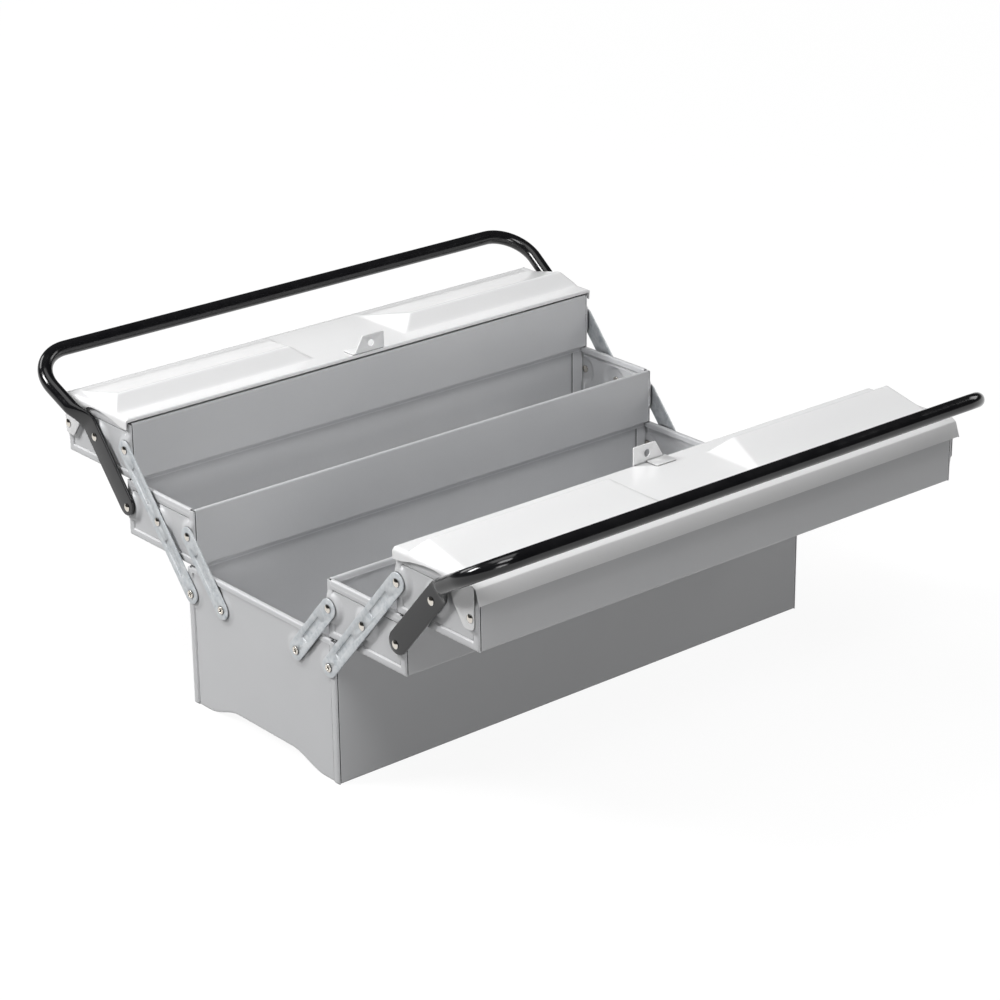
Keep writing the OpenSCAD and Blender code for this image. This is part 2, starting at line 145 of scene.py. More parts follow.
def span(low, high, step, extras=()):
    """Even places from low to high with the extra places among them, less those that crowd an extra one."""
    count = max(1, round((high - low) / step))
    kept = {round(e, 4) for e in extras if low < e < high}
    even = {round(low + (high - low) * i / count, 4) for i in range(1, count)}
    even = {p for p in even if all(abs(p - e) > CROWDED * step for e in kept)}
    return sorted(even | kept | {round(low, 4), round(high, 4)})


def turn_between(d0, d1):
    """The angle from one direction to the next, positive to the left."""
    return math.atan2(d0[0] * d1[1] - d0[1] * d1[0], d0[0] * d1[0] + d0[1] * d1[1])


def mitre(d0, d1):
    """Where a corner goes when both of its lines move left by one; very sharp corners go less far."""
    n0, n1 = left_of(d0), left_of(d1)
    both = (n0[0] + n1[0], n0[1] + n1[1])
    k = 2 / max(SHARPEST, both[0] ** 2 + both[1] ** 2)
    return (both[0] * k, both[1] * k)


def corner_arc(p, d0, d1, r, steps):
    """Points of a rounded corner, each with the direction to the left of the line there."""
    turn = turn_between(d0, d1)
    side = math.copysign(r, turn)
    cut = r * math.tan(abs(turn) / 2)
    n = left_of(d0)
    centre = (p[0] - d0[0] * cut + n[0] * side, p[1] - d0[1] * cut + n[1] * side)
    arc = []
    for k in range(steps + 1):
        c, s = math.cos(turn * k / steps), math.sin(turn * k / steps)
        m = (n[0] * c - n[1] * s, n[0] * s + n[1] * c)
        arc.append(((centre[0] - m[0] * side, centre[1] - m[1] * side), m))
    return arc


def fold_lines(path, radius, steps=5, least_turn=0.3):
    """Both faces of a folded sheet: its path with rounded corners, and the other face to the path's left.

    The radius is that of the fold's inside. A corner that turns less than least_turn stays a plain mitre.
    """
    outer, inner, last = [], [], len(path) - 1
    for i, p in enumerate(path):
        before = direction(path[i - 1], p) if i else None
        after = direction(p, path[i + 1]) if i < last else None
        if before is None or after is None:
            places = [(p, left_of(before or after))]
        elif abs(turn_between(before, after)) < least_turn:
            places = [(p, mitre(before, after))]
        else:
            r = radius + SHEET if turn_between(before, after) > 0 else radius
            places = corner_arc(p, before, after, r, steps)
        for point, m in places:
            outer.append(point)
            inner.append((point[0] + m[0] * SHEET, point[1] + m[1] * SHEET))
    return outer, inner


def offset_loop(loop, d):
    """A closed loop that runs anticlockwise, moved inwards by d."""
    moved, n = [], len(loop)
    for i, b in enumerate(loop):
        m = mitre(direction(loop[i - 1], b), direction(b, loop[(i + 1) % n]))
        moved.append((b[0] + m[0] * d, b[1] + m[1] * d))
    return moved


def rounded_loop(corners, radii, steps):
    """An outline with its corners rounded; the list of radii repeats where it is the shorter one."""
    out, n = [], len(corners)
    for i, b in enumerate(corners):
        r = radii[i % len(radii)]
        if r <= 0:
            out.append(b)
            continue
        d0, d1 = direction(corners[i - 1], b), direction(b, corners[(i + 1) % n])
        out.extend(point for point, _ in corner_arc(b, d0, d1, r, steps))
    return out


def circle_loop(at, r, count):
    angles = [2 * math.pi * i / count for i in range(count)]
    return [(at[0] + r * math.cos(a), at[1] + r * math.sin(a)) for a in angles]


def stadium(length, r, steps=16):
    """A bar's outline with round ends, the first about the origin."""
    loop = []
    for u, start in ((0.0, math.pi / 2), (length, -math.pi / 2)):
        angles = [start + math.pi * i / steps for i in range(steps + 1)]
        loop.extend((u + r * math.cos(a), r * math.sin(a)) for a in angles)
    return loop


# Meshes

BLOCK_SOFT = 0.12
TURNED_POINTS = 28
# Points closer than the first are one, and edges shorter than the second are taken out
WELD, SLIVER = 0.004, 0.001


class Shape:
    """Points in millimetres and the faces between them."""

    def __init__(self):
        self.points = []
        self.faces = []

    def grid(self, rows, ring=False):
        """Quads between rows of points; a ring row joins its own ends."""
        base, n = len(self.points), len(rows[0])
        for row in rows:
            self.points.extend(row)
        for i in range(len(rows) - 1):
            for j in range(n if ring else n - 1):
                a, b = base + i * n + j, base + i * n + (j + 1) % n
                self.faces.append((a, b, b + n, a + n))

    def fill(self, *loops):
        """Triangles over a flat outline less its holes."""
        base = len(self.points)
        for loop in loops:
            self.points.extend(loop)
        for face in geometry.tessellate_polygon([[Vector(p) for p in loop] for loop in loops]):
            self.faces.append(tuple(base + i for i in face))

    def shell(self, outer, inner):
        """A sheet between two grids of the same size, closed along its edges."""
        self.grid(outer)
        self.grid(inner)
        for a, b in ((outer[0], inner[0]), (outer[-1], inner[-1])):
            self.grid([a, b])
        for j in (0, -1):
            self.grid([[row[j] for row in outer], [row[j] for row in inner]])

    def block(self, low, high):
        """A block with softened edges."""
        (x0, y0, z0), (x1, y1, z1) = low, high
        rows = []
        for d, z in ((BLOCK_SOFT, z0), (0.0, z0 + BLOCK_SOFT), (0.0, z1 - BLOCK_SOFT), (BLOCK_SOFT, z1)):
            rows.append([(x0 + d, y0 + d, z), (x1 - d, y0 + d, z), (x1 - d, y1 - d, z), (x0 + d, y1 - d, z)])
        self.grid(rows, ring=True)
        self.fill(rows[0])
        self.fill(rows[-1])

    def lathe(self, profile, x0, at):
        """Turns a profile of (x, radius) about the line along X through the given place."""
        rows = [[(x0 + x, y, z) for y, z in circle_loop(at, r, TURNED_POINTS)] for x, r in profile]
        self.grid(rows, ring=True)

    def mirrored(self, side, end):
        """A copy for the front side where side is -1, and for the left end where end is -1."""
        other = Shape()
        other.points = [(x * end, y * side, z) for x, y, z in self.points]
        other.faces = list(self.faces)
        return other

    def join(self, other):
        base = len(self.points)
        self.points.extend(other.points)
        self.faces.extend(tuple(base + i for i in face) for face in other.faces)


def mesh_of(name, shape, crease):
    """A Blender mesh with welded points, outward faces and smooth shading up to the crease angle."""
    mesh = bpy.data.meshes.new(name)
    mesh.from_pydata([(x * MM, y * MM, z * MM) for x, y, z in shape.points], [], shape.faces)
    bm = bmesh.new()
    bm.from_mesh(mesh)
    bmesh.ops.remove_doubles(bm, verts=bm.verts, dist=WELD * MM)
    bmesh.ops.dissolve_degenerate(bm, dist=SLIVER * MM, edges=bm.edges)
    bmesh.ops.recalc_face_normals(bm, faces=bm.faces)
    limit = math.radians(crease)
    for face in bm.faces:
        face.smooth = True
    for edge in bm.edges:
        edge.smooth = len(edge.link_faces) == 2 and edge.calc_face_angle(0.0) < limit
    bm.to_mesh(mesh)
    bm.free()
    return mesh


SLOT_OF = {part["node"]: part["material_slot"] for part in record["subparts"]}
BODY_OF = {n: body for body, members in record["behaviour"]["bodies"].items() for n in members}


def stand_in(node, shape, material, crease):
    """Puts a shape in the place of a CAD node, on that node's body; the hasps take the lids' paint."""
    piece = bpy.data.objects.new(node + "_look", mesh_of(node + "_look", shape, crease))
    bpy.context.scene.collection.objects.link(piece)
    piece.data.materials.append(material)
    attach(piece, BODY_OF[node])
    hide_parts(node)
    SLOT_OF[node] if material is not LID_PAINT else "lid_paint"
    return piece


BEVEL_ANGLES = (math.pi / 2, math.pi / 3, math.pi / 6, 0.0)
HOLE_SOFT = 0.2
GROOVE_LOOK = 1.3
# Wall of a pressed slot: how far inwards, and at which share of its depth
GROOVE_WALL = ((0.0, 0.0), (0.06, 0.05), (0.14, 0.25), (0.3, 0.8), (0.4, 0.95), (0.55, 1.0))


def plate(outline, thick, bevel, put, holes=(), grooves=()):
    """A flat plate with rounded edges, holes and pressed slots; put(u, v, w) places its points."""
    shape = Shape()

    def rings(loop, levels):
        rows = [[put(u, v, w) for u, v in offset_loop(loop, d)] for d, w in levels]
        shape.grid(rows, ring=True)
        return rows

    quarter = [(bevel * (1 - math.cos(a)), bevel * (1 - math.sin(a))) for a in BEVEL_ANGLES]
    edge = rings(outline, quarter + [(d, thick - w) for d, w in reversed(quarter)])
    backs, fronts = [edge[0]], [edge[-1]]
    through = ((-HOLE_SOFT, 0.0), (0.0, HOLE_SOFT), (0.0, thick - HOLE_SOFT), (-HOLE_SOFT, thick))
    for hole in holes:
        wall = rings(hole, through)
        backs.append(wall[0])
        fronts.append(wall[-1])
    for groove in grooves:
        wall = rings(groove, [(d, thick - GROOVE_LOOK * share) for d, share in GROOVE_WALL])
        shape.fill(wall[-1])
        fronts.append(wall[0])
    shape.fill(*backs)
    shape.fill(*fronts)
    return shape


# Folded walls

# Radius inside the folded rims, and the gap from an end panel's inner face to the folded sheet
RIM_FOLD = 1.05
SEAM = 1.6
ARCH_STEP = 3.5


def arch(y):
    """Height of the bottom box's underside over the floor."""
    share = (BODY_W / 2 - FOOT_W - abs(y)) / (BODY_W / 2 - FOOT_W - ARCH_FLAT)
    share = min(1.0, max(0.0, share))
    return ARCH_RISE * (1 - math.cos(math.pi * share)) / 2


def rim(y, z, hem, way):
    return [(y + way * hem, z - HEM_DROP), (y + way * hem, z), (y, z)]


def folded(path, panel_x, place=(0.0, 0.0)):
    """A sheet with its path in Y and Z, from one end panel to the other."""
    lines = fold_lines([shifted(p, *place) for p in path], RIM_FOLD)
    end_x = panel_x - SHEET - SEAM
    shape = Shape()
    shape.shell(*([[(x, y, z) for y, z in line] for x in (-end_x, end_x)] for line in lines))
    return shape


def bottom_shell():
    half, flat = BODY_W / 2, BODY_W / 2 - FOOT_W
    under = [(-half, 0.0)] + [(y, arch(y)) for y in span(-flat, flat, ARCH_STEP)] + [(half, 0.0)]
    path = rim(-half, BODY_H, BOX_HEM, 1) + under + rim(half, BODY_H, BOX_HEM, -1)[::-1]
    return folded(path, END_X)


def tray_shell(place):
    under = [(0.0, 0.0), (TRAY_W, 0.0)]
    path = rim(0.0, TRAY_H, TRAY_HEM, 1) + under + rim(TRAY_W, TRAY_H, TRAY_HEM, -1)[::-1]
    return folded(path, TRAY_X, place)


# Pressed end panels

# Radius of a panel's edge, with the places of the mesh lines over it
EDGE_SOFT = 1.5
EDGE_LINES = (0.0, 0.12, 0.4, 0.85, EDGE_SOFT)
# Width and depth of the step into the pressed field, with its mesh lines in widths from the border
FIELD_STEP = 0.9
FIELD_LOOK = 1.0
FIELD_LINES = (-0.7, -0.5, -0.17, 0.17, 0.5, 0.8, 1.1, 1.5)
# Low swelling outside the field: its height, and its flanks as shares of the field's inset
BEAD = 0.25
BEAD_RISE, BEAD_FALL = 0.55, 0.45
# Fine line inside the field: its depth and its two flanks
LINE_DEPTH = 0.5
LINE_START, LINE_END = (0.45, 0.72), (1.35, 1.0)
# Round seats: softer than in the construction, and fading where they reach the panel's edge
SEAT_FOOT_R, SEAT_TOP_R = BOSS_R + 0.8, BOSS_TOP_R - 0.6
SEAT_FADE = (-0.4, 2.2)
# Inner face: how far it keeps from the edge, and its share of the edge's rounding
LIP = 0.35
BACK_DROP = 0.6
# Rim on top of a panel: its lap over the panel, the height of its face, its fold and how far it stands proud
RIM_LAP, RIM_FACE, END_FOLD, RIM_PROUD = 1.0, 4.2, 0.6, 0.02
FLANGE_BACK = 1.9
BOTTOM_STEP, TRAY_STEP = 1.7, 1.3
# The bottom box's field runs this far past its panel, so its lower and upper border don't show
FIELD_BEYOND = 20.0
FLANGE_LIFT = 0.2


def edge_drop(d):
    """How far a panel's face falls back close to its edge."""
    if d >= EDGE_SOFT:
        return 0.0
    return EDGE_SOFT - math.sqrt(max(0.0, EDGE_SOFT ** 2 - (EDGE_SOFT - d) ** 2))


def border_lines(low, high, first, second):
    """Mesh lines along the field's two borders, as far as they lie on the panel."""
    lines = [border + way * k * FIELD_STEP for border, way in ((first, 1), (second, -1)) for k in FIELD_LINES]
    return [line for line in lines if low < line < high]


def face_level(y, z, y0, y1, field, seats, seat_h):
    """How far a panel's face stands out at a place, without the rounding of its edge."""
    fy0, fy1, fz0, fz1 = field
    inside = min(y - fy0, fy1 - y, z - fz0, fz1 - z)
    pressed = smooth(inside, -FIELD_STEP / 2, FIELD_STEP / 2)
    raised = max(smooth(math.hypot(y - s[0], z - s[1]), SEAT_FOOT_R, SEAT_TOP_R) for s in seats)
    raised *= smooth(min(y - y0, y1 - y), *SEAT_FADE)
    bead = smooth(inside, -FIELD_INSET, -BEAD_RISE * FIELD_INSET)
    bead *= smooth(inside, 0.0, -BEAD_FALL * FIELD_INSET)
    line = smooth(inside, *LINE_START) * smooth(inside, *LINE_END)
    return (BEAD * bead - FIELD_LOOK * pressed - LINE_DEPTH * line) * (1 - raised) + seat_h * raised


def panel(x, y0, y1, z0, z1, under, field, seats, seat_h, step):
    """A pressed end panel: its edge rounded, a field pressed in and round seats pressed out."""
    fy0, fy1, fz0, fz1 = field
    edges_y = [y0 + e for e in EDGE_LINES] + [y1 - e for e in EDGE_LINES]
    edges_z = [z0 + e for e in EDGE_LINES]
    ys = span(y0, y1, step, edges_y + border_lines(y0, y1, fy0, fy1))
    zs = span(z0, z1, step, edges_z + border_lines(z0, z1, fz0, fz1))
    outer, inner = [], []
    for y in ys:
        front, back = [], []
        lift = under(y)
        for z in zs:
            at_z = z + lift * (1 - (z - z0) / (z1 - z0))
            level = face_level(y, at_z, y0, y1, field, seats, seat_h)
            drop = edge_drop(min(y - y0, y1 - y, at_z - (z0 + lift)))
            front.append((x + level - drop, y, at_z))
            back_y, back_z = min(max(y, y0 + LIP), y1 - LIP), max(at_z, z0 + lift + LIP)
            back.append((x + level - SHEET - BACK_DROP * drop, back_y, back_z))
        outer.append(front)
        inner.append(back)
    shape = Shape()
    shape.shell(outer, inner)
    return shape


def end_rim(x, y0, y1, z, hem):
    """Folded rim along the top of an end panel."""
    path = [(x, z - RIM_FACE), (x, z), (x - hem, z), (x - hem, z - HEM_DROP)]
    outer, inner = fold_lines(path, END_FOLD)
    fronts = [[(px + RIM_PROUD, y, pz) for px, pz in outer] for y in (y0, y1)]
    backs = [[(px, y, pz) for px, pz in inner] for y in (y0, y1)]
    shape = Shape()
    shape.shell(fronts, backs)
    return shape


def corner_flanges(x, y0, y1, z0, z1):
    """The panel's two upright flanges, behind the walls of the folded sheet."""
    shape = Shape()
    for y in (y0 + FLANGE_BACK, y1 - FLANGE_BACK - SHEET):
        shape.block((x - FLANGE_W, y, z0), (x, y + SHEET, z1))
    return shape


def bottom_end():
    half = BODY_W / 2
    seats = [(s * p[0], p[1]) for s in (-1, 1) for p in (LONG_LOW, SHORT_LOW)]
    field = (-half + FIELD_INSET, half - FIELD_INSET, -FIELD_BEYOND, BODY_H + FIELD_BEYOND)
    shape = panel(END_X, -half, half, 0.0, BODY_H - RIM_LAP, arch, field, seats, 0.0, BOTTOM_STEP)
    shape.join(end_rim(END_X, -half + CORNER_GAP, half - CORNER_GAP, BODY_H, BOX_HEM))
    shape.join(corner_flanges(END_X - SHEET, -half, half, ARCH_RISE * FLANGE_LIFT, BODY_H - HEM_DROP))
    return shape


def flat_under(y):
    """The trays stand level, at every place along the panel."""
    return 0.0


def tray_end(place):
    y0, z0 = place
    y1, z1 = y0 + TRAY_W, z0 + TRAY_H
    seats = [shifted(place, PIVOT_EDGE + i * PITCH, PIVOT_H) for i in range(3)]
    field = (y0 + FIELD_INSET, y1 - FIELD_INSET, z0 + FIELD_INSET, z1 - FIELD_TOP)
    shape = panel(TRAY_X, y0, y1, z0, z1 - RIM_LAP, flat_under, field, seats, BOSS_H, TRAY_STEP)
    shape.join(end_rim(TRAY_X, y0 + CORNER_GAP, y1 - CORNER_GAP, z1, TRAY_HEM))
    shape.join(corner_flanges(TRAY_X - SHEET, y0, y1, z0 + 2 * SHEET, z1 - HEM_DROP))
    return shape


# Rivets, as profiles of places along the axis and radii

AXIS_R = 0.02
DOME_H, DOME_STEPS, DOME_POWER = 1.6, 9, 1.8
BRIM_H = 0.28

# Head behind the panel, from the panel's inner face
UPSET_HEAD = [
    (-UPSET_H, AXIS_R), (-UPSET_H, HEAD_R - 0.5), (-UPSET_H + 0.15, HEAD_R - 0.1), (-UPSET_H + 0.4, HEAD_R),
    (0.0, HEAD_R - 0.1), (0.0, RIVET_R),
]

# Rolled head of the bottom box's hollow rivets, from its underside
ROLLED_HEAD = [
    (0.0, RIVET_R), (0.0, HEAD_R - 0.3), (0.15, HEAD_R - 0.05), (0.4, HEAD_R), (0.7, HEAD_R - 0.12),
    (0.95, HEAD_R - 0.5), (HEAD_H, HEAD_R - 1.05), (HEAD_H - 0.08, HEAD_R - 1.6),
    (HEAD_H - 0.4, HEAD_R - 1.95), (HEAD_H - 1.1, 1.3), (HEAD_H - 2.4, 1.15), (HEAD_H - 2.5, AXIS_R),
]


def domed_head():
    """Domed head of the trays' rivets, from its underside."""
    profile = [(0.0, RIVET_R), (0.0, HEAD_R - 0.25), (0.12, HEAD_R - 0.04), (BRIM_H, HEAD_R)]
    for k in range(1, DOME_STEPS):
        share = 1 - k / DOME_STEPS
        profile.append((BRIM_H + (DOME_H - BRIM_H) * (1 - share ** DOME_POWER), HEAD_R * share))
    return profile + [(DOME_H, AXIS_R)]


def rivets(places, head, panel_x):
    """Rivets through a panel at places of (x of the head's underside, centre)."""
    shape = Shape()
    for head_x, at in places:
        grip = head_x - panel_x
        shape.lathe(UPSET_HEAD + [(grip + x, r) for x, r in head], panel_x, at)
    return shape


# Links

LINK_BEVEL = 0.4
GROOVE_CORNER = 1.6
PIVOT_POINTS = 20


def along_link(x, origin):
    """Places a point given along and across a link, and up from its back face."""
    c, s = math.cos(SLANT), math.sin(SLANT)
    return lambda u, v, w: (x + w, origin[0] + u * c - v * s, origin[1] + u * s + v * c)


def link(origin, segments):
    """A flat bar with a pivot at each end of each segment and a pressed slot between them."""
    half = GROOVE_W / 2
    holes = [circle_loop((i * SEGMENT, 0.0), RIVET_R + HOLE_GAP, PIVOT_POINTS) for i in range(segments + 1)]
    grooves = []
    for i in range(segments):
        u0, u1 = i * SEGMENT + GROOVE_END, (i + 1) * SEGMENT - GROOVE_END
        grooves.append(rounded_loop([(u0, -half), (u1, -half), (u1, half), (u0, half)], [GROOVE_CORNER], 5))
    bar = stadium(segments * SEGMENT, LINK_W / 2)
    return plate(bar, LINK_T, LINK_BEVEL, along_link(LINK_X, origin), holes, grooves)


# Handles

SECTION_POINTS = 48
TUBE_LOOK = TUBE_R - 0.02
# Corner radius of the flat arm, and the least straight that a rounded section keeps
ARM_CORNER, STRAIGHT = 1.05, 0.02
# Round foot of the arm: how far its centre lies from the lower rivet, its angles and its narrowest half width
FOOT_BACK = 3.2
FOOT_ANGLES = (0.04, 0.3, 0.6, 0.85, 1.05, 1.2, 1.35, 1.5708)
FOOT_TIP = 0.6
ARM_STEP, ARM_START, ARM_STOP = 8.0, 4.0, 2.0
# Knee from the flat arm to the round tube: its pull, and the shares where width, thickness and corner change
KNEE_STEPS, KNEE_PULL = 16, 0.9
WIDTH_CHANGE, THICKNESS_CHANGE, CORNER_CHANGE = (-0.15, 1.0), (0.0, 1.05), (0.0, 0.55)
LEG_START, LEG_STEP, BEND_STEPS, GRIP_STEP = 1.5, 6.0, 24, 12.0
MIDDLE_CLEAR = 0.5

# Angles of the leg between knee and grip, and the directions along the handle
LEG_RUN = math.hypot(GRIP[0] - KNEE[0], GRIP[1] - KNEE[1])
LEG_LEAN = math.atan2(GRIP[1] - KNEE[1], GRIP[0] - KNEE[0])
LEG_FLARE = math.atan2(GRIP_X - KNEE_X, LEG_RUN)
BEND_TURN = math.pi / 2 + LEG_FLARE
X_AXIS = Vector((1, 0, 0))
GRIP_WAY = Vector((-1, 0, 0))
ARM_WAY = Vector((0, math.cos(SLANT), math.sin(SLANT)))
ARM_ACROSS = Vector((0, -ARM_WAY.z, ARM_WAY.y))
LEG_WAY = Vector((
    math.sin(LEG_FLARE), math.cos(LEG_FLARE) * math.cos(LEG_LEAN), math.cos(LEG_FLARE) * math.sin(LEG_LEAN),
))
LEG_NORMAL = Vector((0, -math.sin(LEG_LEAN), math.cos(LEG_LEAN)))
ARM_FOOT = Vector((LINK_X + ARM_T / 2, *ARM_LOW))
ARM_L = SEGMENT + ARM_BEYOND
KNEE_AT = Vector((END_X + KNEE_X, *shifted(ARM_HIGH, *KNEE)))


def section(centre, thick, wide, half_w, half_t, corner):
    """A ring of a rounded rectangle in the plane of the two given directions."""
    ring, per = [], SECTION_POINTS // 4
    for q, (su, sv) in enumerate(((1, 1), (-1, 1), (-1, -1), (1, -1))):
        cu, cv = su * (half_w - corner), sv * (half_t - corner)
        for k in range(per):
            a = math.pi / 2 * (q + (k + 0.5) / per)
            u, v = cu + corner * math.cos(a), cv + corner * math.sin(a)
            ring.append(tuple(centre + wide * u + thick * v))
    return ring


def arm_ring(s, half_w):
    corner = min(ARM_CORNER, ARM_T / 2 - STRAIGHT, half_w - STRAIGHT)
    return section(ARM_FOOT + ARM_WAY * s, X_AXIS, ARM_ACROSS, half_w, ARM_T / 2, corner)


def arm_rings():
    """The flat arm from its round foot to the knee."""
    half_w = ARM_W / 2
    foot = [(FOOT_BACK - half_w * math.cos(a), max(FOOT_TIP, half_w * math.sin(a))) for a in FOOT_ANGLES]
    flat = [(s, half_w) for s in span(FOOT_BACK + ARM_START, ARM_L - ARM_STOP, ARM_STEP)]
    return [arm_ring(s, w) for s, w in foot + flat]


def knee_rings():
    """The knee along a smooth curve, from the flat arm to the round tube."""
    start = ARM_FOOT + ARM_WAY * ARM_L
    chord = (KNEE_AT - start).length
    lead, trail = ARM_WAY * chord * KNEE_PULL, LEG_WAY * chord * KNEE_PULL
    rings = []
    for k in range(1, KNEE_STEPS + 1):
        t = k / KNEE_STEPS
        from_start, from_end = 2 * t**3 - 3 * t**2 + 1, -2 * t**3 + 3 * t**2
        from_lead, from_trail = t**3 - 2 * t**2 + t, t**3 - t**2
        centre = start * from_start + lead * from_lead + KNEE_AT * from_end + trail * from_trail
        way = (ARM_WAY * (1 - t) + LEG_WAY * t).normalized()
        thick = (X_AXIS - way * way.x).normalized()
        wide = thick.cross(way).normalized()
        half_w = mix(ARM_W / 2, TUBE_LOOK, smooth(t, *WIDTH_CHANGE))
        half_t = mix(ARM_T / 2, TUBE_LOOK, smooth(t, *THICKNESS_CHANGE))
        corner = mix(ARM_CORNER, min(half_w, half_t) - STRAIGHT, smooth(t, *CORNER_CHANGE))
        rings.append(section(centre, thick, wide, half_w, half_t, corner))
    return rings


def tube_ring(centre, way):
    wide = (LEG_NORMAL - way * LEG_NORMAL.dot(way)).normalized()
    return section(centre, way.cross(wide), wide, TUBE_LOOK, TUBE_LOOK, TUBE_LOOK - STRAIGHT / 2)


def tube_rings():
    """The straight leg, the bend and the grip up to the middle of the box."""
    straight = math.hypot(GRIP_X - KNEE_X, LEG_RUN) - BEND_R * math.tan(BEND_TURN / 2)
    rings = [tube_ring(KNEE_AT + LEG_WAY * s, LEG_WAY) for s in span(LEG_START, straight, LEG_STEP)]
    inward = LEG_NORMAL.cross(LEG_WAY).normalized()
    centre = KNEE_AT + LEG_WAY * straight + inward * BEND_R
    for k in range(1, BEND_STEPS + 1):
        a = BEND_TURN * k / BEND_STEPS
        at = centre - inward * BEND_R * math.cos(a) + LEG_WAY * BEND_R * math.sin(a)
        rings.append(tube_ring(at, LEG_WAY * math.cos(a) + inward * math.sin(a)))
    places = [x for x in span(-at.x, at.x, GRIP_STEP)[-2::-1] if x > MIDDLE_CLEAR]
    return rings + [tube_ring(Vector((x, at.y, at.z)), GRIP_WAY) for x in places + [0.0]]


def handle():
    """One bent tube with flattened ends: its right half, and the same mirrored."""
    rings = arm_rings() + knee_rings() + tube_rings()
    shape = Shape()
    shape.grid(rings, ring=True)
    shape.fill(rings[0])
    shape.join(shape.mirrored(1, -1))
    return shape


# Lids

LIP_BACK = 0.7
# Softness of the pads' creases and of their foot, and how much of the crease is given back in height
CREASE, FOOT_FILLET, CREASE_LIFT = 0.55, 0.6, 0.25
# Bend from the flat sheet into the skirt: places from the tray's outer wall and heights
SHOULDER = ((-8.5, 0.0), (-3.5, -0.9), (1.0, -3.5))
LID_FOLD, LID_FOLD_STEPS, LID_LEAST_TURN = 0.9, 6, 0.12
PROFILE_STEP = 1.15
# The outer face of the lid's end walls, and the radius of the bend over them
LID_END = LID_X - 0.02
END_BEND, LEAST_BEND, WALL_FLAT = 3.4, 0.5, 0.35
# Lower edge of the end walls: places from the inner edge and depths below the flat sheet
END_EDGE = (
    (0.0, 9.8), (5.0, 9.5), (12.0, 8.7), (22.0, 6.1), (31.0, 4.9),
    (40.0, 3.8), (48.0, 3.5), (54.0, 3.7), (59.0, 4.8), (64.0, 8.0),
)
WALL_Y_END = 63.0
WALL_STEPS = (0.25, 0.5, 0.75, 1.0)
# Shares of the step to the inner face: kept in Y on the end walls, and given up in Z round the bend
WALL_KEEPS, BEND_LOSES = 0.2, 0.9
# Hinge tab: how far it lies behind the end wall's place, and its rounded edge
HINGE_TAB_BACK, HINGE_TAB_BEVEL = 0.04, 0.22
# The flat sheet ends here in Y; bend, wall and pads take a place as flat down to these heights
FLAT_Y_END = TRAY_W - 8.0
FLAT_FOR_BEND, FLAT_FOR_WALL, FLAT_FOR_PADS = -1.0, -0.5, -0.01
# Mesh lines along X: the middle, the pads' inner slopes, the pads and the end, which is given from the end
MIDDLE_LINES = (0.0, 15.0, 30.0)
SLOPE_BEFORE, SLOPE_BEYOND, SLOPE_STEP = 4.0, 24.0, 1.4
PAD_LINES = (80.0, 236.0, 17)
END_LINES = (
    0.0, 0.1, 0.35, 0.75, 1.3, 2.0, 2.7, END_BEND, 4.5, 5.5, 6.5, 7.5, 8.5, 9.5, 10.5, 11.5, 12.5, 14.0, 17.0,
)


def pad_height(x, y):
    """Height of the raised pads over the flat lid sheet, with soft creases."""
    foot_out, ridge_out = LID_X - SHEET, LID_X - SHEET - PAD_END
    back_y = TRAY_W - PAD_BACK
    share = (y - PAD_FOOT) / (back_y - PAD_FOOT)
    ridge_share = (PAD_RIDGE - PAD_FOOT) / (back_y - PAD_FOOT)
    foot_in = PANEL_HALF + 2 * SHEET * (1 - share)
    slopes = [
        (y - PAD_FOOT) * PAD_H / (PAD_RIDGE - PAD_FOOT),
        (back_y - y) * PAD_H / (back_y - PAD_RIDGE),
        (x - foot_in) * PAD_H / (PAD_SLOPE - 2 * SHEET * (1 - ridge_share)),
        (foot_out - PAD_END * share - x) * PAD_H / (foot_out - PAD_END * ridge_share - ridge_out),
    ]
    low = min(slopes)
    blunted = CREASE * math.log(sum(math.exp(-(s - low) / CREASE) for s in slopes))
    height = low - blunted + CREASE_LIFT * CREASE
    return FOOT_FILLET * math.log(1 + math.exp(height / FOOT_FILLET))


def end_depth(y):
    """Depth of the lid's end wall below its flat sheet."""
    ys, depths = zip(*END_EDGE)
    return float(np.interp(y, ys, depths))


def bend_radius(y, z):
    """Radius of the bend from the sheet into its end wall."""
    if z <= FLAT_FOR_BEND:
        return LEAST_BEND
    return max(LEAST_BEND, min(END_BEND, end_depth(y) - WALL_FLAT))


def lid_profile():
    """The lid's section from skirt to lip: places on its outer face, each with the step to its inner face."""
    path = [(LIP_BACK, LID_GAP - LID_RISE), (LIP_BACK, 0.0)]
    path += [(TRAY_W + y, z) for y, z in SHOULDER + ((SKIRT_FLARE, -SKIRT_DEPTH),)]
    outer, inner = fold_lines(path[::-1], LID_FOLD, LID_FOLD_STEPS, LID_LEAST_TURN)
    profile = []
    for p, n, q, m in zip(outer, outer[1:], inner, inner[1:]):
        parts = max(1, int(math.hypot(*step_to(p, n)) // PROFILE_STEP))
        for k in range(parts):
            t = k / parts
            a, b = (mix(p[0], n[0], t), mix(p[1], n[1], t)), (mix(q[0], m[0], t), mix(q[1], m[1], t))
            profile.append((a, step_to(a, b)))
    return profile + [(outer[-1], step_to(outer[-1], inner[-1]))]


def lid_lines():
    """Mesh lines along X from the middle of the lid to its end."""
    slope = np.arange(PANEL_HALF - SLOPE_BEFORE, PANEL_HALF + SLOPE_BEYOND, SLOPE_STEP)
    lines = [*MIDDLE_LINES, *slope, *np.linspace(*PAD_LINES), *(LID_END - d for d in END_LINES)]
    return sorted({round(float(x), 3) for x in lines})


